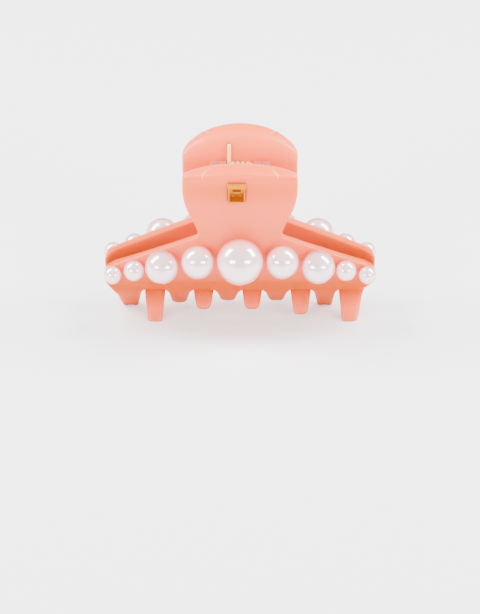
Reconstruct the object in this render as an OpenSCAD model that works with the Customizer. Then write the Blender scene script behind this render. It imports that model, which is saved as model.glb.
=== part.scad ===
// Claw clip with pearls: two identical moulded jaws on one steel pin, a torsion spring
// that closes them, a pressed brass keeper in each jaw's window, and nine pearls a side.
// Millimetres. The clip stands on its teeth at z = 0, with the pin along X and the
// front jaw towards -Y. The rear jaw is the same moulding, turned half round about Z.

/* [Jaw profile] */
// Height of the pin above the surface that the teeth stand on
hinge_h = 47.3; // [46:0.1:57]
// How far the finger lip reaches out from the pin
lip_reach = 17.4; // [14:0.2:22]
// How far the finger lip rises above the pin
lip_rise = 7; // [5:0.2:10]
// Middle of the wall to the pin, at pin height
wall_off = 6.1; // [5.9:0.1:9]
// Middle of the wall to the clip's mid-plane, where the jaw bulges most
bulge = 6.7; // [6.2:0.1:9]
// Wall of the jaw
wall = 3.2; // [2.6:0.1:3.4]
// Wall at the edge of the finger lip
lip_wall = 1.9; // [1.4:0.1:2.6]
// Wall at the tips of the teeth
tip_wall = 2.3; // [1.8:0.1:2.8]

/* [Jaw outline] */
// Width of the clip over its ends
jaw_w = 81.8; // [74:0.2:100]
// Width of the handle at its widest, level with the pin
handle_w = 34.8; // [30:0.2:42]
// Width of the neck where the shoulders start
neck_w = 24.8; // [21:0.2:27]
// Depth of the neck below the pin
neck_drop = 18.2; // [16:0.2:19]
// How much each shoulder falls from the neck to its end
shoulder_fall = 10.4; // [7:0.2:12]
// Depth of the gaps between the teeth below the pin
notch_drop = 37.4; // [36:0.1:38.4]
// Inward bow of the jaw at its ends
end_bow = 2.4; // [0:0.1:3.5]

/* [Teeth] */
// Distance from one tooth to the next on one jaw
tooth_pitch = 14.65; // [13.6:0.05:18]
// Width of a tooth where the two jaws cross
tooth_w = 6.7; // [5:0.1:6.9]
// Width of a tooth at its tip
tooth_tip_w = 4.3; // [3:0.1:5]
// How far the middle teeth stop above the end teeth
tooth_lift = 3.3; // [0:0.1:4]

/* [Hinge] */
// Diameter of the steel pin
pin_d = 1.8; // [1.4:0.1:2.4]
// Radial clearance of the pin in its knuckles
pin_gap = 0.05; // [0.02:0.01:0.1]
// Outer diameter of the moulded knuckles
knuckle_d = 6.4; // [5:0.1:7]
// Length of the inner knuckle of each jaw
inner_knuckle = 2.2; // [1.6:0.1:3]
// Length of the outer knuckle of each jaw
outer_knuckle = 2.4; // [1.6:0.1:3]
// Gap between knuckles along the pin
knuckle_gap = 0.2; // [0.1:0.05:0.4]

/* [Spring] */
// Diameter of the spring wire
wire_d = 1.2; // [0.8:0.1:1.3]
// Mean diameter of the spring coil
coil_d = 5.2; // [4.4:0.1:5.6]
// Number of turns in the coil
turns = 5; // [3:1:5]

/* [Keeper] */
// Width of the window in each handle
window_w = 5.2; // [4:0.1:6]
// Height of the window in each handle
window_h = 5.8; // [5:0.1:6.4]
// Thickness of the keeper's sheet
sheet = 0.4; // [0.3:0.05:0.6]

/* [Pearls] */
// Diameter of the middle pearl
pearl_mid = 14; // [10:0.2:14.4]
// Diameter of the two pearls on each side of the middle one
pearl_big = 10.1; // [8:0.1:10.4]
// Diameter of the fourth pearl
pearl_small = 6.3; // [4:0.1:6.6]
// Diameter of the end pearl
pearl_end = 5.5; // [4:0.1:6]
// Depth of the seat under each pearl
seat_deep = 0.4; // [0.2:0.05:0.8]

/* [Hidden] */

coral = [0.95, 0.62, 0.52];
gold = [0.93, 0.72, 0.38];
steel = [0.72, 0.72, 0.75];
pearl_white = [0.95, 0.9, 0.89];

half_w = jaw_w / 2;
handle_r = handle_w / 2;
neck_r = neck_w / 2;
eps = 0.01;

// From the gaps between the teeth to just past the end teeth's tips.
tooth_len = hinge_h - notch_drop + 0.9;

// The wall's middle line in the plane of the profile, as [out from the mid-plane, up from
// the pin]: along the finger lip, down past the pin, round the bulge and out to the teeth.
profile = [
    [lip_reach, lip_rise],
    [lip_reach - 3.6, lip_rise + 0.4],
    [lip_reach - 7, lip_rise - 0.3],
    [wall_off + 1.5, lip_rise - 3],
    [wall_off + 0.2, 0],
    [wall_off - 0.1, -5.6],
    [wall_off + 0.2, -0.62 * neck_drop],
    [bulge - 0.3, -neck_drop],
    [bulge, -neck_drop - 5],
    [bulge - 0.2, -neck_drop - 9.5],
    [bulge - 1.2, notch_drop * -0.86],
    [bulge - 2.8, notch_drop * -0.94],
    [bulge - 4.8, -notch_drop - 1],
    [bulge - 7.9, -notch_drop - 0.41 * tooth_len],
    [bulge - 10.6, -notch_drop - 0.685 * tooth_len],
    [bulge - 13, -notch_drop - tooth_len]
];
widest = 4;      // the profile's knot at pin height, where the handle is widest
last = len(profile) - 1;

// A smooth curve through the knots: s = 0 is the first knot, s = 1 the second, and so on.
function knot(i) = i < 0 ? 2 * profile[0] - profile[1]
                 : i > last ? 2 * profile[last] - profile[last - 1] : profile[i];
function blend4(a, b, c, d, t) =
    0.5 * (2 * b + (c - a) * t + (2 * a - 5 * b + 4 * c - d) * t * t
           + (3 * b - a - 3 * c + d) * t * t * t);
function along(s) = let (i = min(floor(s), last - 1))
    blend4(knot(i - 1), knot(i), knot(i + 1), knot(i + 2), s - i);
function slope(s) = let (d = along(min(s + 0.02, last)) - along(max(s - 0.02, 0))) d / norm(d);

// Above the pin the handle is domed: the profile shrinks towards the widest point as x
// goes out to the side, along a rounded outline. Below it the wall bows in at the ends.
dome_power = 2;
dome_floor = 0.12;
function dome(x) = max(dome_floor,
    pow(max(0, 1 - pow(min(1, abs(x) / handle_r), dome_power)), 1 / dome_power));
function bow(x, s) = end_bow * pow(x / half_w, 2)
    * (s < 8 ? min(1, (s - widest) / 3) : max(-0.1, 1 - 0.2 * (s - 8)));
function mid(x, s) = s < widest
    ? along(widest) + (along(s) - along(widest)) * dome(x)
    : along(s) - [bow(x, s), 0];
function thick(s) = s < widest ? lip_wall + (wall - lip_wall) * s / widest
                  : s < 10 ? wall : wall - (wall - tip_wall) * (s - 10) / (last - 10);

// A point of the front jaw: side is 1 on the outer face, -1 on the inner face.
function skin(x, s, side) = let (m = mid(x, s), d = slope(s), h = side * thick(s) / 2)
    [x, -m[0] + d[1] * h, hinge_h + m[1] + d[0] * h];
function outer(x, s) = skin(x, s, 1);

// The place on the profile at a given height above the pin, on the front jaw's outer face.
function at_height(x, z, lo = 4, hi = 15, n = 24) = n == 0 ? (lo + hi) / 2
    : outer(x, (lo + hi) / 2)[2] > hinge_h + z ? at_height(x, z, (lo + hi) / 2, hi, n - 1)
    : at_height(x, z, lo, (lo + hi) / 2, n - 1);

// The jaw's sheet before it is cut to its outline: a grid of points over width and profile.
dome_steps = 7;
side_x = [for (i = [1 : dome_steps]) handle_r * sin(90 * i / dome_steps)];
far_x = [for (i = [1 : 4]) handle_r + 0.4 + (half_w + 1 - handle_r - 0.4) * i / 4];
half_x = concat(side_x, [handle_r + 0.4], far_x);
sheet_x = concat([for (i = [len(half_x) - 1 : -1 : 0]) -half_x[i]], [0], half_x);
sheet_s = concat([for (i = [0 : 12]) i / 3], [for (i = [1 : 22]) widest + i / 2]);
nx = len(sheet_x);
ns = len(sheet_s);

module sheet_solid() {
    points = [for (side = [1, -1]) for (s = sheet_s) for (x = sheet_x) skin(x, s, side)];
    function p(side, j, i) = (side * ns + j) * nx + i;
    function quad(a, b, c, d) = [[a, b, c], [a, c, d]];
    skins = [for (j = [0 : ns - 2]) for (i = [0 : nx - 2])
        each concat(quad(p(0, j, i), p(0, j, i + 1), p(0, j + 1, i + 1), p(0, j + 1, i)),
                    quad(p(1, j, i), p(1, j + 1, i), p(1, j + 1, i + 1), p(1, j, i + 1)))];
    ends = [for (j = [0 : ns - 2])
        each concat(quad(p(0, j, 0), p(0, j + 1, 0), p(1, j + 1, 0), p(1, j, 0)),
                    quad(p(0, j, nx - 1), p(1, j, nx - 1), p(1, j + 1, nx - 1), p(0, j + 1, nx - 1)))];
    rims = [for (i = [0 : nx - 2])
        each concat(quad(p(0, 0, i), p(1, 0, i), p(1, 0, i + 1), p(0, 0, i + 1)),
                    quad(p(0, ns - 1, i), p(0, ns - 1, i + 1), p(1, ns - 1, i + 1), p(1, ns - 1, i)))];
    polyhedron(points = points, faces = concat(skins, ends, rims), convexity = 6);
}

// Centres and depths of one jaw's teeth, from its corner tooth inwards.
tooth_x = [for (k = [-2 : 2]) (k - 0.25) * tooth_pitch];
function tooth_drop(x) = abs(x) > 1.5 * tooth_pitch ? hinge_h
    : hinge_h - tooth_lift * (abs(x) > tooth_pitch ? 0.6 : 1);
end_drop = neck_drop + shoulder_fall;
root_flare = 0.9;
root_h = 1.6;

// One side of the handle, from pin height down to the neck; m is -1 on the left.
function handle_side(m) = [for (i = [0 : 8])
    let (t = i / 8, f = (1 - cos(180 * pow(t, 1.5))) / 2)
    [m * (handle_r - (handle_r - neck_r) * f), -neck_drop * t]];
// The rounded upper corner of a shoulder's end.
function end_curve(m) = [[m * (half_w - 3.4), -end_drop + 0.8], [m * (half_w - 1.3), -end_drop - 0.6],
    [m * (half_w - 0.2), -end_drop - 2.6]];
function backwards(list) = [for (i = [len(list) - 1 : -1 : 0]) list[i]];

module body_outline() {
    polygon(concat(
        [[-handle_r, lip_rise + 4]], handle_side(-1),
        end_curve(-1),
        [[-half_w + 0.3, -end_drop - 6], [-half_w + 3.9, -notch_drop - 3.2],
         [tooth_x[0] - tooth_tip_w / 2 - 0.9, -hinge_h + 3.8],
         [tooth_x[0] - tooth_tip_w / 2, -hinge_h], [tooth_x[0], -notch_drop],
         [half_w - 3.4, -notch_drop], [half_w - 0.2, -end_drop - 5.4]],
        backwards(end_curve(1)),
        backwards(handle_side(1)), [[handle_r, lip_rise + 4]]));
}

module tooth_outline(x) {
    polygon([[x - tooth_w / 2 - root_flare, -notch_drop + 0.5],
             [x - tooth_w / 2, -notch_drop - root_h],
             [x - tooth_tip_w / 2, -tooth_drop(x)], [x + tooth_tip_w / 2, -tooth_drop(x)],
             [x + tooth_w / 2, -notch_drop - root_h],
             [x + tooth_w / 2 + root_flare, -notch_drop + 0.5]]);
}

// Seen from its own outside: handle, neck, sloping shoulders and the row of teeth.
module jaw_outline() {
    offset(r = 1.3, $fn = 20) offset(r = -2.3, $fn = 20) offset(delta = 1) {
        body_outline();
        for (x = tooth_x) tooth_outline(x);
    }
}

// The pearls' places along the jaw, worked out from their diameters, and the seats' heights.
pearl_d = [pearl_mid, pearl_big, pearl_big, pearl_small, pearl_end];
pearl_x = [0, 0.52 * (pearl_mid + pearl_big), 0.52 * pearl_mid + 1.58 * pearl_big,
           0.52 * pearl_mid + 2.09 * pearl_big + 0.515 * pearl_small,
           0.52 * pearl_mid + 2.09 * pearl_big + 1.06 * pearl_small + 0.55 * pearl_end];
pearl_fall = 6.7;
mid_seat = 5.6;
foot_part = 0.5;
rise_part = 0.66;
function seat_z(x) = -neck_drop - mid_seat - pearl_fall * pow(abs(x) / pearl_x[4], 1.85);

// Puts its children on the front jaw's outer face at x, with +Z pointing out of the face.
module on_face(x, s) {
    d = 0.05;
    n0 = cross(outer(x, s + d) - outer(x, s - d), outer(x + d, s) - outer(x - d, s));
    n = n0 / norm(n0) * (n0[1] > 0 ? -1 : 1);
    translate(outer(x, s)) rotate([0, acos(n[2]), atan2(n[1], n[0])]) children();
}

module pearl(x, d) {
    r = d / 2;
    color(pearl_white) on_face(x, at_height(x, seat_z(x))) {
        intersection() {
            translate([0, 0, rise_part * r]) sphere(r, $fn = 64);
            translate([-r, -r, 0]) cube([d, d, 2 * d]);
        }
        translate([0, 0, -seat_deep]) cylinder(r = foot_part * r, h = seat_deep + eps, $fn = 48);
    }
}

module pearl_seat(x, d) {
    on_face(x, at_height(x, seat_z(x))) translate([0, 0, -seat_deep])
        cylinder(r = foot_part * d / 2 + 0.05, h = seat_deep + 1, $fn = 48);
}

// Knuckles of the front jaw: the inner one at +X, the outer one at -X. The rear jaw's fall
// beside them when the same moulding is turned half round.
coil_half = 3.27;
web_top = 0.8;
inner_start = coil_half + wire_d / 2 + 0.35;
outer_start = inner_start + inner_knuckle + knuckle_gap;
pin_end = outer_start + outer_knuckle;

module along_x(x, d, len) { translate([x, 0, hinge_h]) rotate([0, 90, 0]) cylinder(d = d, h = len, $fn = 64); }

module knuckle(x, len) {
    along_x(x, knuckle_d, len);
    translate([x, -wall_off - 0.3, hinge_h - knuckle_d / 2])
        cube([len, wall_off + 0.3, knuckle_d / 2 + web_top]);
}

// The window in the front handle, and the brass cup that lines it.
window_x = -1;
window_top = -0.5;
cup_gap = 0.05;
face_y = -outer(window_x, widest)[1];
cup_back = wall_off - wall / 2 + 0.5;

module window_cut() {
    translate([window_x - window_w / 2, -face_y - 3, hinge_h + window_top - window_h])
        cube([window_w, 8, window_h]);
}

// Leg of the spring: where its tip enters the front handle's inner face.
leg_s = 2.8;
wire_r = wire_d / 2;
leg_in = skin(coil_half, leg_s, -1);
leg_dir = let (v = skin(coil_half, leg_s, 1) - leg_in) v / norm(v);
leg_deep = 1.6;

module leg_hole() {
    translate(leg_in - leg_dir * 0.5) rotate([0, acos(leg_dir[2]), atan2(leg_dir[1], leg_dir[0])])
        cylinder(r = wire_r + 0.15, h = leg_deep + 0.8, $fn = 32);
}

module jaw() {
    color(coral) difference() {
        union() {
            intersection() {
                sheet_solid();
                translate([0, 0, hinge_h]) rotate([90, 0, 0])
                    linear_extrude(80, center = true) jaw_outline();
            }
            knuckle(inner_start, inner_knuckle);
            knuckle(-pin_end, outer_knuckle);
        }
        along_x(-pin_end - 1, pin_d + 2 * pin_gap, 2 * pin_end + 2);
        window_cut();
        leg_hole();
        for (i = [0 : 4]) for (m = i == 0 ? [1] : [-1, 1]) pearl_seat(m * pearl_x[i], pearl_d[i]);
    }
}

// Straight steel pin with a low upset head at each end.
module hinge_pin() {
    head = 0.5;
    color(steel) {
        along_x(-pin_end - head, pin_d, 2 * (pin_end + head));
        for (x = [-pin_end - head, pin_end + 0.05]) along_x(x, pin_d + 1, head - 0.05);
    }
}

// The wire's middle line: in at the front handle, down to the coil, round it, and up again.
leg_bend = leg_in - leg_dir * (wire_r + 0.25);
leg_up = [leg_bend[0], -leg_bend[1], leg_bend[2] - hinge_h];
leg_angle = atan2(leg_up[2], leg_up[1]) - acos(coil_d / 2 / norm([leg_up[1], leg_up[2]]));
first_angle = 180 - leg_angle;
sweep_angle = turns * 360 + leg_angle - first_angle;
ring_steps = turns * 16;
bend_r = 0.9;

function turned(p) = [-p[0], -p[1], p[2]];
leg_start = leg_in + leg_dir * leg_deep;
coil_in = [coil_half, coil_d / 2 * cos(first_angle), hinge_h + coil_d / 2 * sin(first_angle)];
leg_line = let (v = coil_in - leg_bend) v / norm(v);
front_leg = concat([leg_start], [for (i = [0 : 4]) let (t = i / 4)
    leg_bend + leg_dir * bend_r * pow(1 - t, 2) + leg_line * bend_r * pow(t, 2)],
    [leg_bend + (coil_in - leg_bend) * 0.5]);
coil = [for (i = [0 : ring_steps]) let (a = first_angle + sweep_angle * i / ring_steps)
    [coil_half - 2 * coil_half * i / ring_steps, coil_d / 2 * cos(a), hinge_h + coil_d / 2 * sin(a)]];
wire = concat(front_leg, coil, [for (p = backwards(front_leg)) turned(p)]);

// A round tube along a path; each ring's frame is kept level with the pin where it can be.
module tube(path, r, sides) {
    n = len(path);
    function tangent(i) = let (v = path[min(i + 1, n - 1)] - path[max(i - 1, 0)]) v / norm(v);
    rings = [for (i = [0 : n - 1])
        let (t = tangent(i), u0 = cross(t, [1, 0, 0]), u = u0 / norm(u0), w = cross(t, u))
        each [for (k = [0 : sides - 1]) path[i] + r * (cos(360 * k / sides) * u + sin(360 * k / sides) * w)]];
    walls = [for (i = [0 : n - 2]) for (k = [0 : sides - 1])
        let (a = i * sides + k, b = i * sides + (k + 1) % sides)
        each [[a, b + sides, b], [a, a + sides, b + sides]]];
    polyhedron(rings, concat(walls, [[for (k = [0 : sides - 1]) k]],
        [[for (k = [sides - 1 : -1 : 0]) (n - 1) * sides + k]]), convexity = 8);
}

module torsion_spring() { color(gold) tube(wire, wire_r, 10); }

// Pressed brass cup in the window: a rim folded over its top edge, a bar across, two dimples.
module keeper() {
    w = window_w - 2 * cup_gap;
    h = window_h - 2 * cup_gap;
    top = hinge_h + window_top - cup_gap;
    flange_h = 1.9;
    color(gold) {
        difference() {
            translate([window_x - w / 2, -face_y - sheet, top - h])
                cube([w, face_y + sheet - cup_back, h]);
            translate([window_x - w / 2 + sheet, -face_y - 2 * sheet, top - h + sheet])
                cube([w - 2 * sheet, face_y + sheet - cup_back, h - 2 * sheet]);
        }
        translate([window_x - w / 2 - 0.3, -face_y - 2 * sheet, top - flange_h + 0.9])
            cube([w + 0.6, sheet, flange_h]);
        translate([window_x - w / 4, -face_y + 0.8, top - 0.55 * h])
            cube([w / 2, face_y - 0.8 - cup_back - sheet / 2, 0.5]);
        for (m = [-1, 1]) translate([window_x + m * w / 4, -cup_back - sheet, top - 0.82 * h])
            sphere(0.5, $fn = 24);
    }
}

module turn() { rotate([0, 0, 180]) children(); }

jaw();  // front_jaw
turn() jaw();  // rear_jaw
hinge_pin();
torsion_spring();
keeper();  // front_keeper
turn() keeper();  // rear_keeper
pearl(0, pearl_mid);  // front_pearl_middle
turn() pearl(0, pearl_mid);  // rear_pearl_middle
pearl(-pearl_x[1], pearl_d[1]);  // front_pearl_left_1
pearl(-pearl_x[2], pearl_d[2]);  // front_pearl_left_2
pearl(-pearl_x[3], pearl_d[3]);  // front_pearl_left_3
pearl(-pearl_x[4], pearl_d[4]);  // front_pearl_left_4
pearl(pearl_x[1], pearl_d[1]);  // front_pearl_right_1
pearl(pearl_x[2], pearl_d[2]);  // front_pearl_right_2
pearl(pearl_x[3], pearl_d[3]);  // front_pearl_right_3
pearl(pearl_x[4], pearl_d[4]);  // front_pearl_right_4
turn() pearl(-pearl_x[1], pearl_d[1]);  // rear_pearl_left_1
turn() pearl(-pearl_x[2], pearl_d[2]);  // rear_pearl_left_2
turn() pearl(-pearl_x[3], pearl_d[3]);  // rear_pearl_left_3
turn() pearl(-pearl_x[4], pearl_d[4]);  // rear_pearl_left_4
turn() pearl(pearl_x[1], pearl_d[1]);  // rear_pearl_right_1
turn() pearl(pearl_x[2], pearl_d[2]);  // rear_pearl_right_2
turn() pearl(pearl_x[3], pearl_d[3]);  // rear_pearl_right_3
turn() pearl(pearl_x[4], pearl_d[4]);  // rear_pearl_right_4
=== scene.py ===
"""Claw clip with pearls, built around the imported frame. Lengths are millimetres until a mesh is made."""

import math
import bpy
import numpy as np
from mathutils import Matrix, Vector
from mathutils.geometry import delaunay_2d_cdt


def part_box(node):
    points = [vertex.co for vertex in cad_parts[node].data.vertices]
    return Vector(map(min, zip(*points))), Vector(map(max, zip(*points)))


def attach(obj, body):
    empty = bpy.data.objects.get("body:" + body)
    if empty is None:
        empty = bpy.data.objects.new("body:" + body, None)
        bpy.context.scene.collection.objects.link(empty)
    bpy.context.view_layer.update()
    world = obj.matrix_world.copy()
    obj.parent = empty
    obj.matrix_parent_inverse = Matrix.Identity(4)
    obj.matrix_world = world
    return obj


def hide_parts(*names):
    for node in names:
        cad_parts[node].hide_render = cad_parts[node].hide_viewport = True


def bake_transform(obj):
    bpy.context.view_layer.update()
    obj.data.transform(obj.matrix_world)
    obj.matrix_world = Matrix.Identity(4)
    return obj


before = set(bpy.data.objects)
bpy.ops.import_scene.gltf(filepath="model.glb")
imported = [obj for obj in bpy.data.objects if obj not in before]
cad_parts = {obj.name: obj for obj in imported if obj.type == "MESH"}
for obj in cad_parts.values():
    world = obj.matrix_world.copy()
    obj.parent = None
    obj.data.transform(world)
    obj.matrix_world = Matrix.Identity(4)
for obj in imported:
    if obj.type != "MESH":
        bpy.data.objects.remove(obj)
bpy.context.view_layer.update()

# ---------------------------------------------------------------------------------------------
# The two jaws. Each is one injection moulding in milky coral acrylic, about 3 mm thick, with a
# handle whose lip rolls outwards, sloping shoulders, tapered teeth and two hinge knuckles.
# Both come from the same mould, and the rear one is turned half round about the vertical.

MM = 0.001
hinge_h = (np.array(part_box("hinge_pin"))[:, 2] / MM).mean()
half_w = 40.9
handle_r, neck_r = 17.4, 12.4
# Below the pin: the neck's end, the tops of the shoulders' ends, and the gaps between the teeth.
neck_drop, end_drop, notch_drop = 18.2, 28.6, 37.4
# The side profile: how far out and up the lip goes, and how far out the wall is at the pin and below.
lip_reach, lip_rise, wall_off, bulge = 17.4, 7.0, 6.1, 6.7
wall, lip_wall, tip_wall = 3.2, 1.9, 2.3
end_bow = 2.4
tooth_pitch, tooth_w, tooth_tip_w, tooth_lift, root_h = 14.65, 6.7, 4.3, 3.3, 1.6
# How far past the floor the outer two teeth reach, and the others before tooth_lift shortens them.
end_past, mid_past = 0.9, 0.5

# The middle line of the wall seen from the side: out from the pin, and up from it.
profile = np.array([
    (lip_reach, lip_rise), (lip_reach - 3.6, lip_rise + 0.4), (lip_reach - 7, lip_rise - 0.3),
    (wall_off + 1.5, lip_rise - 3), (wall_off + 0.2, 0), (wall_off - 0.1, -5.6),
    (wall_off + 0.2, -0.62 * neck_drop), (bulge - 0.3, -neck_drop), (bulge, -neck_drop - 5),
    (bulge - 0.2, -neck_drop - 9.5), (bulge - 1.2, -0.86 * notch_drop),
    (bulge - 2.8, -0.94 * notch_drop), (bulge - 4.8, -notch_drop - 1),
    (bulge - 7.9, -notch_drop - 4.4), (bulge - 10.6, -notch_drop - 7.4),
    (bulge - 13, -notch_drop - 10.8)])
AT_PIN, AT_BULGE, AT_TEETH, LAST = 4, 8, 10, len(profile) - 1
knots = np.vstack([2 * profile[0] - profile[1], profile, 2 * profile[-1] - profile[-2]])


def along(s):
    """Catmull-Rom curve through the profile, with s = 0 at the lip and s = 1, 2... at each knot:
    0.5 * (2b + (c - a) t + (2a - 5b + 4c - d) t^2 + (3b - a - 3c + d) t^3)."""
    s = np.clip(s, 0, LAST)
    i = np.minimum(np.floor(s).astype(int), LAST - 1)
    t = (s - i)[..., None]
    a, b, c, d = knots[i], knots[i + 1], knots[i + 2], knots[i + 3]
    curve = 2 * b + (c - a) * t
    return 0.5 * (curve + (2 * a - 5 * b + 4 * c - d) * t ** 2 + (3 * b - a - 3 * c + d) * t ** 3)


# Tables that turn a height below the pin, or a length of wall above it, into s.
low_s = np.linspace(AT_PIN, LAST, 1200)
low_z = along(low_s)[:, 1]
high_s = np.linspace(AT_PIN, 0, 800)
high_len = np.concatenate([[0], np.cumsum(np.linalg.norm(np.diff(along(high_s), axis=0), axis=1))])
lip_len = high_len[-1]
# The lip's half ellipse is a little wider than the handle, so it never shrinks to nothing.
DOME_R = handle_r + 0.5


def dome(x, radius):
    """How far the lip shrinks towards its root at x: sqrt(1 - (x / radius)^2), a half ellipse."""
    return np.sqrt(np.clip(1 - (x / radius) ** 2, 0.03, 1))


def place(x, q):
    """s at a point of the flat pattern: q is height below the pin, or length of wall above it."""
    up = np.interp(q / dome(x, DOME_R), high_len, high_s)
    return np.where(q > 0, up, np.interp(-q, -low_z, low_s))


def middle(x, q):
    """The wall's middle surface: the profile, domed above the pin, and below it bowed in at the ends by
    end_bow * (x / half_w)^2."""
    s = place(x, q)
    root = along(np.array(float(AT_PIN)))
    high = root + (along(s) - root) * dome(x, DOME_R)[..., None]
    grow, fade = np.clip((s - AT_PIN) / 3, 0, 1), np.maximum(-0.1, 1 - 0.2 * (s - AT_BULGE))
    ramp = np.where(s < AT_BULGE, grow, fade)
    low = along(s) - np.stack([end_bow * (x / half_w) ** 2 * ramp, np.zeros_like(x)], -1)
    yz = np.where((q > 0)[..., None], high, low)
    return np.stack([x, -yz[..., 0], hinge_h + yz[..., 1]], -1)


def outward(x, q, step=0.05):
    """Unit normal of the middle surface, pointing away from the clip's mid-plane."""
    inside = np.where(np.abs(x) > handle_r - 0.3, -np.sign(x) * step, step)
    across = (middle(x + inside, q) - middle(x, q)) / inside[..., None]
    upward = (middle(x, q + step) - middle(x, q - step)) / (2 * step)
    normal = np.cross(across, upward)
    return normal / np.linalg.norm(normal, axis=-1, keepdims=True)


def thickness(x, q):
    """Wall thickness: thin at the lip's edge and at the tips of the teeth, and at the handle's sides."""
    s = place(x, q)
    base = np.interp(s, [0, AT_PIN, AT_TEETH, LAST], [lip_wall, wall, wall, tip_wall])
    side = 1 - 0.6 * (1 - dome(x, DOME_R)) * np.clip(1 + q / 7, 0, 1)
    return base * np.where(np.abs(x) < DOME_R, side, 1)


def rounded(points, radii, n=7):
    """A closed outline whose corners are replaced by arcs, each as large as its radius says. An arc is the
    rational curve ((1 - t)^2 a + 2 sin(half) t (1 - t) p + t^2 b) / (the same sum of weights)."""
    out = []
    for i, p in enumerate(points):
        before, after = points[i - 1], points[(i + 1) % len(points)]
        u, v = before - p, after - p
        lu, lv = np.linalg.norm(u), np.linalg.norm(v)
        u, v = u / lu, v / lv
        half = math.acos(np.clip(u @ v, -1, 1)) / 2
        if radii[i] <= 0 or half > math.radians(88):
            out.append(p[None])
            continue
        reach = min(radii[i] / math.tan(half), 0.48 * lu, 0.48 * lv)
        t = np.linspace(0, 1, n)[:, None]
        a, b = p + u * reach, p + v * reach
        bend = 2 * math.sin(half) * t * (1 - t)
        out.append(((1 - t) ** 2 * a + bend * p + t ** 2 * b) / ((1 - t) ** 2 + bend + t ** 2))
    return np.vstack(out)


tooth_x = [(k - 0.25) * tooth_pitch for k in range(-2, 3)]


def tooth_depth(x):
    """How far a tooth's tip is below the pin: the outer two reach past the floor and are cut flat there."""
    if abs(x) > 1.5 * tooth_pitch:
        return hinge_h + end_past
    return hinge_h + mid_past - tooth_lift * (0.6 if abs(x) > tooth_pitch else 1)


def jaw_outline():
    """The jaw's edge in the flat pattern, anticlockwise from the lip's right: side, teeth, side and lip."""
    t = np.linspace(0, 1, 9)
    fall = (1 - np.cos(np.pi * t ** 1.5)) / 2
    side = np.stack([handle_r - (handle_r - neck_r) * fall, -neck_drop * t], -1)
    shoulder = [(3.4, 0.8), (1.1, -0.7), (0.1, -2.8)]
    pts, radii = [], []

    def corner(x, z, r=0.0):
        pts.append((x, z))
        radii.append(r)

    for x, z in side[:-1]:
        corner(-x, z)
    corner(-neck_r, -neck_drop, 1.1)
    for inset, rise in shoulder:
        corner(-half_w + inset, -end_drop + rise, 2.0)
    corner(-half_w + 0.3, -end_drop - 6, 3.0)
    corner(-half_w + 3.9, -notch_drop - 3.2, 3.0)
    for i, c in enumerate(tooth_x):
        depth = tooth_depth(c)
        if i == 0:
            corner(c - tooth_tip_w / 2 - 1.0, -depth + 3.4, 3.0)
        else:
            corner(c - tooth_w / 2 - 1.1, -notch_drop, 1.6)
            corner(c - tooth_w / 2 + 0.1, -notch_drop - root_h, 2.5)
        corner(c - tooth_tip_w / 2, -depth, 1.7)
        corner(c + tooth_tip_w / 2, -depth, 1.7)
        corner(c + tooth_w / 2 - 0.1, -notch_drop - root_h, 2.5)
        corner(c + tooth_w / 2 + 1.1, -notch_drop, 1.6)
    corner(half_w - 3.4, -notch_drop, 2.5)
    corner(half_w - 0.2, -end_drop - 5.4, 3.0)
    for inset, rise in shoulder[::-1]:
        corner(half_w - inset, -end_drop + rise, 2.0)
    corner(neck_r, -neck_drop, 1.1)
    for x, z in side[-2::-1]:
        corner(x, z)
    lower = rounded(np.array(pts), radii)
    a = np.linspace(0, np.pi, 61)[1:-1]
    top = np.stack([handle_r * np.cos(a), lip_len * np.sin(a)], -1)
    return np.vstack([top, lower])


def evenly(loop, gap):
    """The same closed outline with its points about one gap apart."""
    closed = np.vstack([loop, loop[:1]])
    length = np.concatenate([[0], np.cumsum(np.linalg.norm(np.diff(closed, axis=0), axis=1))])
    n = int(length[-1] / gap)
    at = np.linspace(0, length[-1], n, endpoint=False)
    return np.stack([np.interp(at, length, closed[:, k]) for k in (0, 1)], -1)


def inward(loop):
    """Unit normals of an anticlockwise outline, pointing into the enclosed area."""
    d = np.roll(loop, -1, 0) - np.roll(loop, 1, 0)
    n = np.stack([-d[:, 1], d[:, 0]], -1)
    return n / np.linalg.norm(n, axis=1, keepdims=True)


def inside_loop(points, loop):
    """Even-odd test of many points against one outline."""
    x, y = points[:, 0][:, None], points[:, 1][:, None]
    x0, y0 = loop[:, 0][None], loop[:, 1][None]
    x1, y1 = np.roll(loop[:, 0], -1)[None], np.roll(loop[:, 1], -1)[None]
    cross = (y0 > y) != (y1 > y)
    at = x0 + (y - y0) / np.where(y1 == y0, 1e-9, y1 - y0) * (x1 - x0)
    return (np.sum(cross & (x < at), axis=1) % 2) == 1


def nearest(points, loop):
    """Distance from each of many points to the nearest point of one outline, 2000 at a time."""
    out = np.empty(len(points))
    for k in range(0, len(points), 2000):
        d = points[k:k + 2000, None, :] - loop[None]
        out[k:k + 2000] = np.sqrt((d ** 2).sum(-1).min(1))
    return out


window_w, window_h, window_x, window_top = 5.2, 5.8, -1.0, -0.5
window = rounded(np.array([(window_x - window_w / 2, window_top - window_h),
                           (window_x + window_w / 2, window_top - window_h),
                           (window_x + window_w / 2, window_top),
                           (window_x - window_w / 2, window_top)]), [1.0, 1.0, 0.5, 0.5])
EDGE_STEPS = np.radians([0, 14, 30, 48, 68, 90])
PAD_RISE, PAD_SINK = 0.2, 0.8


def edge_radius(x, q):
    """Radius of the moulded edge: small round the handle, larger towards the teeth."""
    return np.interp(-q, [-15, -6, 10, 18, 30, 38, 44], [0.35, 0.5, 0.5, 0.35, 0.5, 0.8, 1.05])


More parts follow.
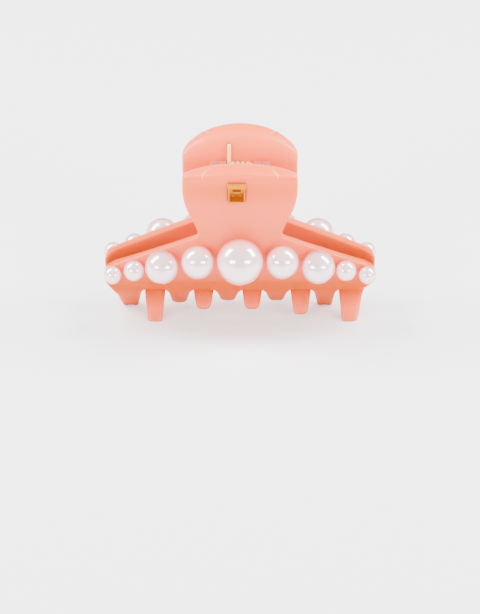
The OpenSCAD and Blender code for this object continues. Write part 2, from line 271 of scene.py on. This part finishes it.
def pad(x, q):
    """Fine ridge on the inner face of the lip, round a pad that widens towards the lip's edge:
    PAD_RISE * (exp(-((|x| - width) / 0.3)^2) - PAD_SINK)."""
    width = np.interp(q, [0, 6, lip_len], [7.4, 8.2, 13.2])
    ridge = np.exp(-((np.abs(x) - width) / 0.3) ** 2)
    return PAD_RISE * (ridge - PAD_SINK) * np.clip((q - 7) / 2, 0, 1)


# The spring's leg goes into a round hole in the inner face, a little wider than its wire.
leg_x, leg_s, leg_deep, wire_r, leg_room = 3.27, 2.8, 1.9, 0.6, 0.17
leg_q = float(np.interp(-leg_s, -high_s, high_len) * dome(np.array(leg_x), DOME_R))
ring_a = np.linspace(0, 2 * np.pi, 24, endpoint=False)
leg_ring = np.array([leg_x, leg_q]) + np.stack([np.cos(ring_a), np.sin(ring_a)], -1) * (wire_r + leg_room)
leg_floor = np.array([leg_x, leg_q]) + (leg_ring - [leg_x, leg_q]) * 0.96


def jaw_plate():
    """Points and faces of the plate: the flat pattern is triangulated once, then both skins are lifted
    off the middle surface by half the thickness, less what the rounded edge takes off near the rim."""
    outer, hole = evenly(jaw_outline(), 0.42), evenly(window, 0.3)
    pts, part, edges, start = [], [], [], 0
    for loop, turned in [(outer, 0.0), (hole, 0.0), (leg_ring, math.pi / 2), (leg_floor, math.pi / 2)]:
        n = len(loop)
        pts.append(loop)
        part.append(np.full(n, turned))
        edges += [(start + i, start + (i + 1) % n) for i in range(n)]
        start += n
    for loop, normal in [(outer, inward(outer)), (hole, -inward(hole))]:
        r = edge_radius(loop[:, 0], loop[:, 1])[:, None]
        for step in EDGE_STEPS[1:]:
            pts.append(loop + normal * r * (1 - math.cos(step)))
            part.append(np.full(len(loop), step))
    # Rows of evenly spaced points, every other row set off by half a step, finer on the lip.
    grids = []
    for step, low, high in ((0.55, -hinge_h - 1, 7), (0.3, 7.1, lip_len)):
        gx, gy = np.meshgrid(np.arange(-half_w, half_w, step), np.arange(low, high, step * 0.866))
        gx = gx + (np.arange(gx.shape[0]) % 2)[:, None] * step / 2
        grids.append(np.stack([gx.ravel(), gy.ravel()], -1))
    grid = np.vstack(grids)
    grid = grid[inside_loop(grid, outer) & ~inside_loop(grid, hole)]
    far = nearest(grid, np.vstack([outer, hole])) > edge_radius(grid[:, 0], grid[:, 1]) + 0.3
    grid = grid[far & (np.hypot(grid[:, 0] - leg_x, grid[:, 1] - leg_q) > wire_r + 0.35)]
    pts.append(grid)
    part.append(np.full(len(grid), math.pi / 2))
    flat = np.vstack(pts)
    part = np.concatenate(part)
    result = delaunay_2d_cdt([Vector(p) for p in flat.tolist()], edges, [], 1, 1e-5)
    verts, faces, source = np.array([v[:] for v in result[0]]), result[2], result[3]
    step = np.array([part[o[0]] if o else math.pi / 2 for o in source])
    tri = np.array([f[:] for f in faces if len(f) == 3])
    tri = tri[~inside_loop(verts[tri].mean(1), hole)]
    x, q = verts[:, 0], verts[:, 1]
    mid, normal = middle(x, q), outward(x, q)
    r = edge_radius(x, q)
    half = thickness(x, q) / 2 - r * (1 - np.sin(step))
    top = mid + normal * half[:, None]
    dug = np.hypot(x - leg_x, q - leg_q) < (wire_r + leg_room) * 0.98
    low = mid - normal * np.where(dug, half - leg_deep, half + pad(x, q))[:, None]
    n = len(verts)
    a, b, c = verts[tri[:, 0]], verts[tri[:, 1]], verts[tri[:, 2]]
    area = (b[:, 0] - a[:, 0]) * (c[:, 1] - a[:, 1]) - (b[:, 1] - a[:, 1]) * (c[:, 0] - a[:, 0])
    tri[area < 0] = tri[area < 0][:, ::-1]
    sides = np.vstack([tri[:, [0, 1]], tri[:, [1, 2]], tri[:, [2, 0]]])
    rim = sides[~np.isin(sides @ [n, 1], sides @ [1, n])]
    walls = np.stack([rim[:, 1], rim[:, 0], rim[:, 0] + n, rim[:, 1] + n], -1)
    faces = tri.tolist() + (tri[:, ::-1] + n).tolist() + walls.tolist()
    points = np.vstack([top, low])
    points[:, 2] = np.maximum(points[:, 2], 0)
    return points, faces


def revolve(outline, n):
    """Closed surface from (radius, height) points, both ends on the axis, turned about +Z."""
    r, z = np.array(outline, float).T
    a = np.linspace(0, 2 * np.pi, n, endpoint=False)
    inner = slice(1, -1)
    ring = np.stack([r[inner, None] * np.cos(a), r[inner, None] * np.sin(a),
                     np.broadcast_to(z[inner, None], (len(r) - 2, n))], -1).reshape(-1, 3)
    pts = np.vstack([[[0, 0, z[0]]], ring, [[0, 0, z[-1]]]])
    k = np.arange(n)
    k1, last = (k + 1) % n, 1 + (len(r) - 3) * n
    row = 1 + np.arange(len(r) - 3)[:, None] * n
    bands = np.stack([row + k, row + k1, row + n + k1, row + n + k], -1).reshape(-1, 4)
    bottom = np.stack([0 * k, 1 + k1, 1 + k], -1)
    top = np.stack([0 * k + len(pts) - 1, last + k, last + k1], -1)
    faces = bottom.tolist() + bands.tolist() + top.tolist()
    return pts, faces


def join(*shells):
    """Several (points, faces) as one."""
    pts, faces, start = [], [], 0
    for p, f in shells:
        pts.append(np.asarray(p, float))
        faces += [[i + start for i in face] for face in f]
        start += len(p)
    return np.vstack(pts), faces


knuckle_r, pin_r, web_top, pin_gap = 3.2, 0.9, 0.8, 0.05
inner_start, inner_len, outer_start, outer_len = 4.22, 2.2, 6.62, 2.4
pin_end = outer_start + outer_len


def knuckle(x, length):
    """D-shaped ring round the pin. Its radius at angle a is the circle's, or the distance to the straight
    web that joins it to the wall where that is farther: min(far / cos a, web_top / sin a)."""
    far = wall_off - 0.2
    web_start, web_end = -np.pi / 2, math.asin(web_top / knuckle_r)
    corners = [math.atan2(-knuckle_r, far), math.atan2(web_top, far), web_end, web_start]
    a = np.unique(np.concatenate([np.linspace(-np.pi, np.pi, 73)[:-1], corners]))
    c, s = np.cos(a), np.sin(a)
    with np.errstate(divide="ignore"):
        top = np.where(s > 0, web_top / s, np.where(s < 0, -knuckle_r / s, 99))
        side = np.minimum(np.where(c > 0, far / c, 99), top)
    r = np.where((a > web_start) & (a < web_end), np.maximum(knuckle_r, side), knuckle_r)
    bore = np.full(len(a), pin_r + pin_gap)
    edge = [(0, 0.22), (0.06, 0.08), (0.22, 0)]
    rings = [(x + along_pin, r - cut) for along_pin, cut in edge]
    rings += [(x + length - along_pin, r - cut) for along_pin, cut in edge[::-1]]
    rings += [(x + length, bore), (x, bore)]
    pts = np.vstack([np.stack([np.full(len(a), rx), -rr * c, hinge_h + rr * s], -1) for rx, rr in rings])
    n, m = len(a), len(rings)
    ring, k = np.arange(m)[:, None], np.arange(n)
    here, there, k1 = ring * n, (ring + 1) % m * n, (k + 1) % n
    faces = np.stack([here + k, there + k, there + k1, here + k1], -1).reshape(-1, 4).tolist()
    return pts, faces


def linear(code):
    """sRGB hex to a linear RGBA colour."""
    c = np.array([int(code[i:i + 2], 16) / 255 for i in (1, 3, 5)])
    return (*np.where(c <= 0.04045, c / 12.92, ((c + 0.055) / 1.055) ** 2.4), 1.0)


def add(name, points, faces, material, slot, body, *nodes):
    """One piece: millimetre points made into a smooth mesh that rides on a body and stands for its nodes."""
    mesh = bpy.data.meshes.new(name)
    mesh.from_pydata((np.asarray(points) * MM).tolist(), [], faces)
    mesh.polygons.foreach_set("use_smooth", [True] * len(mesh.polygons))
    mesh.set_sharp_from_angle(angle=math.radians(40))
    mesh.materials.append(material)
    mesh.update()
    obj = bpy.data.objects.new(name, mesh)
    bpy.context.scene.collection.objects.link(obj)
    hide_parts(*nodes)
    if body:
        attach(obj, body)
    return obj


def new_material(name, values):
    """A material with the given constants on its Principled shader, with its tree and that shader."""
    mat = bpy.data.materials.new(name)
    mat.use_nodes = True
    shader = mat.node_tree.nodes["Principled BSDF"]
    for key, value in values.items():
        shader.inputs[key].default_value = value
    return mat, mat.node_tree, shader


def node(tree, kind, inputs=(), **settings):
    """One shader node: settings are its properties, inputs are (socket, value or output socket)."""
    n = tree.nodes.new(kind)
    for key, value in settings.items():
        setattr(n, key, value)
    for key, value in inputs:
        if isinstance(value, bpy.types.NodeSocket):
            tree.links.new(value, n.inputs[key])
        else:
            n.inputs[key].default_value = value
    return n


# Moulded acrylic with a milky filler: light goes a few millimetres in, so thin edges glow, and the surface
# has a soft moulded gloss. Shade is painted into the colour as well: a deeper, duller orange in recesses, on
# undersides, on inner faces and below the lip, with the gloss turned down there too.
plastic, tree, shader = new_material("coral acrylic", {
    "Roughness": 0.34, "IOR": 1.49, "Subsurface Weight": 0.7, "Subsurface Radius": (1.0, 0.38, 0.26),
    "Subsurface Scale": 0.004})
coords = node(tree, "ShaderNodeTexCoord")
in_mm = node(tree, "ShaderNodeVectorMath", [(0, coords.outputs["Object"]), ("Scale", 1 / MM)],
             operation="SCALE")
xyz = node(tree, "ShaderNodeSeparateXYZ", [("Vector", in_mm.outputs["Vector"])])
height = xyz.outputs["Z"]
depth = node(tree, "ShaderNodeMath", [(0, xyz.outputs["Y"])], operation="ABSOLUTE").outputs[0]
geometry = node(tree, "ShaderNodeNewGeometry")
facing = node(tree, "ShaderNodeSeparateXYZ", [("Vector", geometry.outputs["Normal"])])
shade = node(tree, "ShaderNodeAmbientOcclusion", [("Distance", 12 * MM)], samples=8, only_local=True)

# Each row is a ramp: its name, what it reads, where it starts and stops, and its values there.
ramps = {}
for name, value, start, stop, least, most in [
        ("crest", height, hinge_h + 2.3, hinge_h + 3.1, 0.0, 1.0),
        ("near_pin", depth, 2.8, 2.2, 0.0, 1.0),
        ("recess", shade.outputs["AO"], 0.9, 0.55, 0.0, 1.0),
        ("underside", facing.outputs["Z"], 0.0, -0.5, 0.0, 1.0),
        ("inner_face", depth, 6.8, 4.4, 0.0, 1.0),
        ("under_neck", height, 37.0, 25.0, 0.0, 1.0),
        ("above_tips", height, 3.5, 7.5, 0.0, 1.0),
        ("below_lip", height, 49.5, 45.5, 0.0, 0.8),
        ("outer_face", depth, 6.6, 7.4, 0.0, 1.0),
        ("on_lip", depth, 11.0, 12.5, 0.0, 1.0),
        # The next row paints the lit lip a warmer orange: painted light.
        ("lit_lip_tint", depth, 11.0, 12.5, 0.0, 0.5),
        ("pad_half_width", depth, 11.0, 17.4, 8.4, 13.4),
        ("above_teeth", height, 16.0, 24.0, 0.0, 1.0)]:
    ramp = node(tree, "ShaderNodeMapRange", [("Value", value), ("From Min", start), ("From Max", stop),
                                             ("To Min", least), ("To Max", most)])
    ramps[name] = ramp.outputs[0]
rise = node(tree, "ShaderNodeMapRange", [("Value", height), ("From Min", 38.5), ("From Max", 45.0)],
            interpolation_type="SMOOTHSTEP")
ramps["above_neck"] = rise.outputs[0]

# A pale line is painted round the lip's pad, on the upper side of the lip: a painted highlight along the
# ridge.
aside = node(tree, "ShaderNodeMath", [(0, xyz.outputs["X"])], operation="ABSOLUTE")
past_ridge = node(tree, "ShaderNodeMath", [(0, aside.outputs[0]), (1, ramps["pad_half_width"])],
                  operation="SUBTRACT")
from_ridge = node(tree, "ShaderNodeMath", [(0, past_ridge.outputs[0])], operation="ABSOLUTE")
ridge = node(tree, "ShaderNodeMapRange", [("Value", from_ridge.outputs[0]), ("From Min", 0.45),
                                          ("From Max", 0.1), ("To Max", 0.45)])
ramps["ridge"] = ridge.outputs[0]
ramps["lip_top"] = node(tree, "ShaderNodeMath", [(0, height), (1, 52.0)], operation="GREATER_THAN").outputs[0]

# Painted shade: the colour is darkened in recesses, on undersides, on inner faces and in the band below the
# lip.
for name, operation, one, other in [
        # The knuckles' tops over the pin get a dark grey-pink painted shade.
        ("knuckle_top_shade", "MULTIPLY", "crest", "near_pin"),
        ("inner", "MULTIPLY", "inner_face", "under_neck"),
        ("inner", "MULTIPLY", "inner", "above_tips"),
        ("lip_shade", "MULTIPLY", "below_lip", "above_neck"),
        ("lip_shade", "MULTIPLY", "lip_shade", "outer_face"),
        ("painted_shade", "MAXIMUM", "recess", "lip_shade"),
        ("painted_shade", "MAXIMUM", "painted_shade", "underside"),
        ("painted_shade", "MAXIMUM", "painted_shade", "inner"),
        # The pale painted highlight along the ridge round the lip's pad.
        ("ridge_highlight", "MULTIPLY", "ridge", "on_lip"),
        ("ridge_highlight", "MULTIPLY", "ridge_highlight", "lip_top")]:
    both = node(tree, "ShaderNodeMath", [(0, ramps[one]), (1, ramps[other])], operation=operation)
    ramps[name] = both.outputs[0]
# The painted shade is a deeper orange, darker still low down on the teeth.
painted_shade_tint = node(tree, "ShaderNodeMix", [("Factor", ramps["above_teeth"]), ("A", linear("#c24a08")),
                                         ("B", linear("#e6642a"))], data_type="RGBA")
colour = linear("#f66d40")
for name, over in [("painted_shade", painted_shade_tint.outputs["Result"]), ("lit_lip_tint", linear("#fb5c1e")),
                   ("ridge_highlight", linear("#ffbe9c")), ("knuckle_top_shade", linear("#a05550"))]:
    colour = node(tree, "ShaderNodeMix", [("Factor", ramps[name]), ("A", colour), ("B", over)],
                  data_type="RGBA").outputs["Result"]
tree.links.new(colour, shader.inputs["Base Color"])
gloss = node(tree, "ShaderNodeMapRange", [("Value", ramps["painted_shade"]), ("To Min", 0.35), ("To Max", 0.06)])
tree.links.new(gloss.outputs[0], shader.inputs["Specular IOR Level"])

plate = jaw_plate()
knuckles = [knuckle(inner_start, inner_len), knuckle(-pin_end, outer_len)]
jaw_points, jaw_faces = join(plate, *knuckles)
half_turn = np.array([-1, -1, 1])  # a half turn about the vertical
add("front_jaw_moulding", jaw_points, jaw_faces, plastic, "coral_plastic", "front_half", "front_jaw")
add("rear_jaw_moulding", jaw_points * half_turn, jaw_faces, plastic, "coral_plastic", "rear_half", "rear_jaw")

# ---------------------------------------------------------------------------------------------
# The hinge pin: straight steel wire 1.8 mm thick through all four knuckles, with a low head
# upset at each end.

# Drawn steel wire, bright and slightly satin.
steel, tree, shader = new_material("pin steel", {
    "Base Color": linear("#b9b6ba"), "Metallic": 1.0, "Roughness": 0.3})

head_r, head = 1.4, 0.5
end = pin_end + head
half_pin = [(0, end), (head_r - 0.35, end), (head_r - 0.1, end - 0.08), (head_r, end - 0.22),
            (head_r, pin_end + 0.12), (head_r - 0.08, pin_end + 0.05), (pin_r, pin_end + 0.05)]
pin_profile = [(r, -z) for r, z in half_pin] + half_pin[::-1]
pin_points, pin_faces = revolve(pin_profile, 40)
pin_points = np.stack([pin_points[:, 2], pin_points[:, 1], hinge_h - pin_points[:, 0]], -1)
add("steel_hinge_pin", pin_points, pin_faces, steel, "pin_steel", "front_half", "hinge_pin")

# ---------------------------------------------------------------------------------------------
# The torsion spring: 1.2 mm gold-plated wire in five turns round the pin. A leg runs up from
# each end of the coil, and its tip is bent into a hole in the handle, so it pushes them apart.

# Thin gold plate on drawn wire, which reads as pale cream gold against the coral.
gold_wire, tree, shader = new_material("gold-plated wire", {
    "Base Color": linear("#f9d083"), "Metallic": 0.7, "Roughness": 0.4})

coil_r, coil_half, turns, bend_r, leg_tip = 2.6, 3.27, 5, 0.9, 1.6


def unit(v):
    """The vector at length one."""
    return v / np.linalg.norm(v)


def lip_face(side):
    """The point of the front handle's inner (-1) or outer (1) face that is in line with the leg's hole."""
    shrink = dome(np.array(leg_x), handle_r)
    d = unit(along(np.array(leg_s + 0.02)) - along(np.array(leg_s - 0.02)))
    root = along(np.array(float(AT_PIN)))
    m = root + (along(np.array(leg_s)) - root) * shrink
    h = side * np.interp(leg_s, [0, AT_PIN], [lip_wall, wall]) / 2
    return np.array([leg_x, -m[0] + d[1] * h, hinge_h + m[1] + d[0] * h])


# From the hole in the handle the leg turns through a short bend, and then runs straight down to touch
# the coil's circle. The coil goes round by sweep while it moves across from one side to the other.
leg_in = lip_face(-1)
leg_dir = unit(lip_face(1) - leg_in)
bend_at = leg_in - leg_dir * (wire_r + 0.25)
up = np.array([-bend_at[1], bend_at[2] - hinge_h])
leg_angle = math.atan2(up[1], up[0]) - math.acos(coil_r / np.linalg.norm(up))
first_angle = math.pi - leg_angle
sweep = turns * 2 * math.pi + leg_angle - first_angle
coil_in = np.array([coil_half, coil_r * math.cos(first_angle), hinge_h + coil_r * math.sin(first_angle)])
leg_line = unit(coil_in - bend_at)
t = np.linspace(0, 1, 9)[:, None]
bend = bend_at + leg_dir * bend_r * (1 - t) ** 2 + leg_line * bend_r * t ** 2
straight = bend_at + (coil_in - bend_at) * np.array([[0.4], [0.7]])
leg = np.vstack([[leg_in + leg_dir * leg_tip], bend, straight])
u = np.linspace(0, 1, turns * 40)[:, None]
angle = first_angle + sweep * u
coil = np.hstack([coil_half - 2 * coil_half * u, coil_r * np.cos(angle), hinge_h + coil_r * np.sin(angle)])
path = np.vstack([leg, coil, leg[::-1] * half_turn])


def tube(path, r, sides, ease=0.18):
    """Round tube along a path, with both ends eased to a small flat. Each ring is its centre plus
    r (u cos a + v sin a), and u is carried along without twist."""
    tangent = np.gradient(path, axis=0)
    tangent /= np.linalg.norm(tangent, axis=1, keepdims=True)
    us = [unit(np.cross(tangent[0], [1, 0, 0.2]))]
    for t in tangent:
        us.append(unit(us[-1] - t * (us[-1] @ t)))
    us = np.array(us[1:])
    vs = np.cross(tangent, us)
    first, last = path[:1] + tangent[:1] * ease, path[-1:] - tangent[-1:] * ease
    centres = np.vstack([path[:1], first, path[1:-1], last, path[-1:]])
    us, vs = (np.vstack([w[:1], w[:1], w[1:-1], w[-1:], w[-1:]]) for w in (us, vs))
    radii = np.full(len(centres), r)
    radii[[0, -1]] = r - ease
    a = np.linspace(0, 2 * np.pi, sides, endpoint=False)[None, :, None]
    rings = centres[:, None] + radii[:, None, None] * (np.cos(a) * us[:, None] + np.sin(a) * vs[:, None])
    row, k = np.arange(len(centres) - 1)[:, None] * sides, np.arange(sides)
    k1, last = (k + 1) % sides, (len(centres) - 1) * sides
    faces = np.stack([row + k, row + k1, row + sides + k1, row + sides + k], -1).reshape(-1, 4).tolist()
    faces += [k[::-1].tolist(), (last + k).tolist()]
    return rings.reshape(-1, 3), faces


spring_points, spring_faces = tube(path, wire_r, 18)
spring = add("gold_torsion_spring", spring_points, spring_faces, gold_wire, "spring_wire", None,
             "torsion_spring")
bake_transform(spring)

# ---------------------------------------------------------------------------------------------
# The keepers: pressed brass cups that line the window in each handle. Each has a rim folded
# over the window's top edge, a thin bar across the cup and two dimples in its back.

# Bright pressed brass. A little light of its own stands in for the lamps' bounce inside the cup.
brass, tree, shader = new_material("pressed brass", {
    "Base Color": linear("#bc7000"), "Metallic": 1.0, "Roughness": 0.34, "Specular Tint": linear("#f0a030"),
    "Emission Color": linear("#e89200"), "Emission Strength": 0.35})

sheet, cup_gap, cup_back, flange_h = 0.4, 0.05, 5.0, 1.9
cup_w, cup_h = window_w - 2 * cup_gap, window_h - 2 * cup_gap
cup_top = hinge_h + window_top - cup_gap
face_y = float(along(np.array(float(AT_PIN)))[0]) + wall / 2


def rounded_box(low, high, r, n=5):
    """A box with rounded edges. Each direction d of a cube's grid goes to the nearest corner of the box
    shrunk by r, plus r d / |d|, and the cube's shared edges are made one."""
    m = 2 * n
    tan = np.tan(np.linspace(0, np.pi / 4, n))
    axis = np.concatenate([-tan[::-1], tan])
    i, j = np.meshgrid(np.arange(m), np.arange(m), indexing="ij")
    sheets = np.zeros((6, m, m, 3), int)
    for number in range(6):
        across, far_side = number // 2, number % 2
        sheets[number, ..., across] = far_side * (m - 1)
        sheets[number, ..., (across + 1) % 3], sheets[number, ..., (across + 2) % 3] = i, j
    keys, index = np.unique(sheets.reshape(-1, 3), axis=0, return_inverse=True)
    index = index.reshape(6, m, m)
    d = axis[keys]
    centre = np.where(keys < n, np.array(low, float) + r, np.array(high, float) - r)
    quads = np.stack([index[:, :-1, :-1], index[:, 1:, :-1], index[:, 1:, 1:], index[:, :-1, 1:]], -1)
    quads[::2] = quads[::2, ..., ::-1]
    return centre + r * d / np.linalg.norm(d, axis=1, keepdims=True), quads.reshape(-1, 4).tolist()


left, right = window_x - cup_w / 2, window_x + cup_w / 2
front, back = -face_y - sheet, -cup_back
z0 = cup_top - cup_h
# Two sides, the floor, the top and the back of the cup, the folded rim, and the bar across it.
cup_parts = [
    rounded_box((left, front, z0), (left + sheet, back, cup_top), 0.12),
    rounded_box((right - sheet, front, z0), (right, back, cup_top), 0.12),
    rounded_box((left, front, z0), (right, back, z0 + sheet), 0.12),
    rounded_box((left, front, cup_top - sheet), (right, back, cup_top), 0.12),
    rounded_box((left, back - sheet, z0), (right, back, cup_top), 0.12),
    rounded_box((left - 0.3, -face_y - 2 * sheet, cup_top - flange_h + 0.9),
                (right + 0.3, -face_y - sheet, cup_top + 0.9), 0.17),
    rounded_box((window_x - cup_w / 4, -face_y + 0.8, cup_top - 0.55 * cup_h),
                (window_x + cup_w / 4, back - sheet / 2, cup_top - 0.55 * cup_h + 0.5), 0.15)]
a = np.linspace(0, np.pi, 13)
ball, ball_faces = revolve(np.stack([0.5 * np.sin(a), -0.5 * np.cos(a)], -1), 24)
for m in (-1, 1):
    cup_parts.append((ball + [window_x + m * cup_w / 4, back - sheet, cup_top - 0.82 * cup_h], ball_faces))
cup_points, cup_faces = join(*cup_parts)
add("front_brass_keeper", cup_points, cup_faces, brass, "keeper_brass", "front_half", "front_keeper")
add("rear_brass_keeper", cup_points * half_turn, cup_faces, brass, "keeper_brass", "rear_half", "rear_keeper")

# ---------------------------------------------------------------------------------------------
# The pearls: nine acrylic beads on each jaw with a pearl lacquer, 14 mm in the middle and down
# to 5.5 mm at the ends. Each has a flat foot glued in a shallow seat in the shoulder.

# Pearl lacquer on acrylic: a pale pink body under a hard clear coat that mirrors the lamps. Towards the rim
# the colour is painted a deeper pink: a painted sheen and a painted reflection of the coral jaws.
pearl_coat, tree, shader = new_material("pearl lacquer", {
    "Metallic": 0.2, "Roughness": 0.2, "Coat Weight": 1.0, "Coat Roughness": 0.06, "Coat IOR": 2.1,
    "Subsurface Weight": 0.25, "Subsurface Radius": (1.0, 0.8, 0.75), "Subsurface Scale": 0.0015})
towards_rim = node(tree, "ShaderNodeLayerWeight", [("Blend", 0.5)])
rim_sheen_and_reflection = node(tree, "ShaderNodeMapRange", [("Value", towards_rim.outputs["Facing"]), ("From Min", 0.34),
                                          ("From Max", 0.66)], interpolation_type="SMOOTHSTEP")
body = node(tree, "ShaderNodeMix", [("Factor", rim_sheen_and_reflection.outputs[0]), ("A", linear("#ffdde0")),
                                    ("B", linear("#ff9c90"))], data_type="RGBA")
tree.links.new(body.outputs["Result"], shader.inputs["Base Color"])

pearl_d = np.array([14.0, 10.1, 10.1, 6.3, 5.5])
# From each pearl's centre to the next one's, as shares of the two diameters.
shares = [(0.52, 0.52), (0.53, 0.53), (0.51, 0.515), (0.545, 0.55)]
pearl_x = [0.0]
for i, (near_share, far_share) in enumerate(shares):
    pearl_x.append(pearl_x[i] + near_share * pearl_d[i] + far_share * pearl_d[i + 1])
# The middle seat's drop below the neck and the end seats' further drop, how high a pearl's centre
# stands and how wide its foot is as shares of its radius, and the seat's depth.
mid_seat, pearl_fall, rise_part, foot_part, seat_deep = 5.6, 6.7, 0.66, 0.5, 0.4


def pearl_place(x):
    """Point and outward normal of the jaw's outer face at a pearl's seat, whose drop below the middle one
    is pearl_fall * (|x| / the end pearl's x)^1.85."""
    height = -neck_drop - mid_seat - pearl_fall * (abs(x) / pearl_x[4]) ** 1.85
    q = np.linspace(-36, -18, 721)
    xs = np.full_like(q, x)
    face = middle(xs, q) + outward(xs, q) * (thickness(xs, q) / 2)[:, None]
    k = int(np.argmin(np.abs(face[:, 2] - hinge_h - height)))
    return face[k], outward(xs, q)[k]


def pearl(d):
    """Ball with a flat foot, standing on +Z with its seat's face at z = 0."""
    r = d / 2
    low = -math.asin(rise_part)
    a = np.linspace(low, np.pi / 2, 40)
    ball = np.stack([r * np.cos(a), rise_part * r + r * np.sin(a)], -1)
    ball[-1, 0] = 0
    foot = foot_part * r
    return revolve(np.vstack([[(0, -seat_deep), (foot, -seat_deep), (foot, 0)], ball]), 72)


for i, d in enumerate(pearl_d):
    for m in ([1] if i == 0 else [-1, 1]):
        at, n = pearl_place(m * pearl_x[i])
        side = unit(np.cross([0, 0, 1], n))
        basis = np.stack([side, np.cross(n, side), n], 0)
        pts, faces = pearl(d)
        pts = pts @ basis + at
        label = "middle" if i == 0 else f"{'left' if m < 0 else 'right'}_{i}"
        add(f"front_pearl_bead_{label}", pts, faces, pearl_coat, "pearl_coat", "front_half",
            f"front_pearl_{label}")
        add(f"rear_pearl_bead_{label}", pts * half_turn, faces, pearl_coat, "pearl_coat", "rear_half",
            f"rear_pearl_{label}")

# ---------------------------------------------------------------------------------------------
# The studio: a pale seamless floor, a small softbox left and right of the camera, two large ones
# overhead with a gap between them, and an even grey surround.

# Painted floor with a faint sheen. A little light of its own keeps it pale all the way back.
floor_mat, tree, shader = new_material("studio floor", {
    "Base Color": linear("#e8e9eb"), "Roughness": 0.35, "Specular IOR Level": 0.4,
    "Emission Color": linear("#f6ecec"), "Emission Strength": 0.8})
floor_mesh = bpy.data.meshes.new("studio_floor")
floor_mesh.from_pydata([(-6, -6, 0), (6, -6, 0), (6, 6, 0), (-6, 6, 0)], [], [(0, 1, 2, 3)])
floor_mesh.materials.append(floor_mat)
floor = bpy.data.objects.new("studio_floor", floor_mesh)
bpy.context.scene.collection.objects.link(floor)

world = bpy.data.worlds.new("studio surround")
world.use_nodes = True
world.node_tree.nodes["Background"].inputs["Color"].default_value = linear("#e9eaec")
world.node_tree.nodes["Background"].inputs["Strength"].default_value = 0.9
bpy.context.scene.world = world

# Metres from here on. The camera looks at aim, and its view is view_w wide there.
aim, elevation, distance, view_w = Vector((0, -0.0187, 0.0113)), math.radians(27.5), 3.0, 0.1442
to_camera = Vector((0, -math.cos(elevation), math.sin(elevation)))
view_up = Vector((0, math.sin(elevation), math.cos(elevation)))
view_right = Vector((1, 0, 0))


def softbox(name, off_axis, clock, far, width, height, power):
    """Rectangular lamp placed by where it shows in a pearl: its angle off the camera's line, and its clock
    angle in the view (0 is up, 90 is right). Its width runs round the clock and its height outwards."""
    theta, phi = math.radians(off_axis), math.radians(clock)
    outwards = math.cos(phi) * view_up + math.sin(phi) * view_right
    direction = math.cos(theta) * to_camera + math.sin(theta) * outwards
    round_clock = math.cos(phi) * view_right - math.sin(phi) * view_up
    lamp = bpy.data.lights.new(name, "AREA")
    lamp.shape, lamp.size, lamp.size_y, lamp.energy = "RECTANGLE", width, height, power
    obj = bpy.data.objects.new(name, lamp)
    obj.location = aim + direction * far
    axes = Matrix((round_clock, direction.cross(round_clock), direction)).transposed()
    obj.rotation_euler = axes.to_euler()
    bpy.context.scene.collection.objects.link(obj)


for side, clock in (("left", -1), ("right", 1)):
    softbox(f"{side} patch", 38, 90 * clock, 0.9, 0.2, 0.45, 8.0)
for side, clock in (("left", -1), ("right", 1)):
    softbox(f"upper {side}", 81, 43 * clock, 1.0, 0.9, 0.35, 32.0)

# Telephoto camera 27.5 degrees above the horizon.
camera_data = bpy.data.cameras.new("camera")
camera_data.sensor_fit, camera_data.sensor_width = "HORIZONTAL", 36.0
camera_data.lens = 36.0 * distance / view_w
camera_data.clip_start, camera_data.clip_end = 0.01, 20
camera = bpy.data.objects.new("camera", camera_data)
camera.location = aim + to_camera * distance
camera.rotation_euler = (math.pi / 2 - elevation, 0, 0)
bpy.context.scene.collection.objects.link(camera)
bpy.context.scene.camera = camera
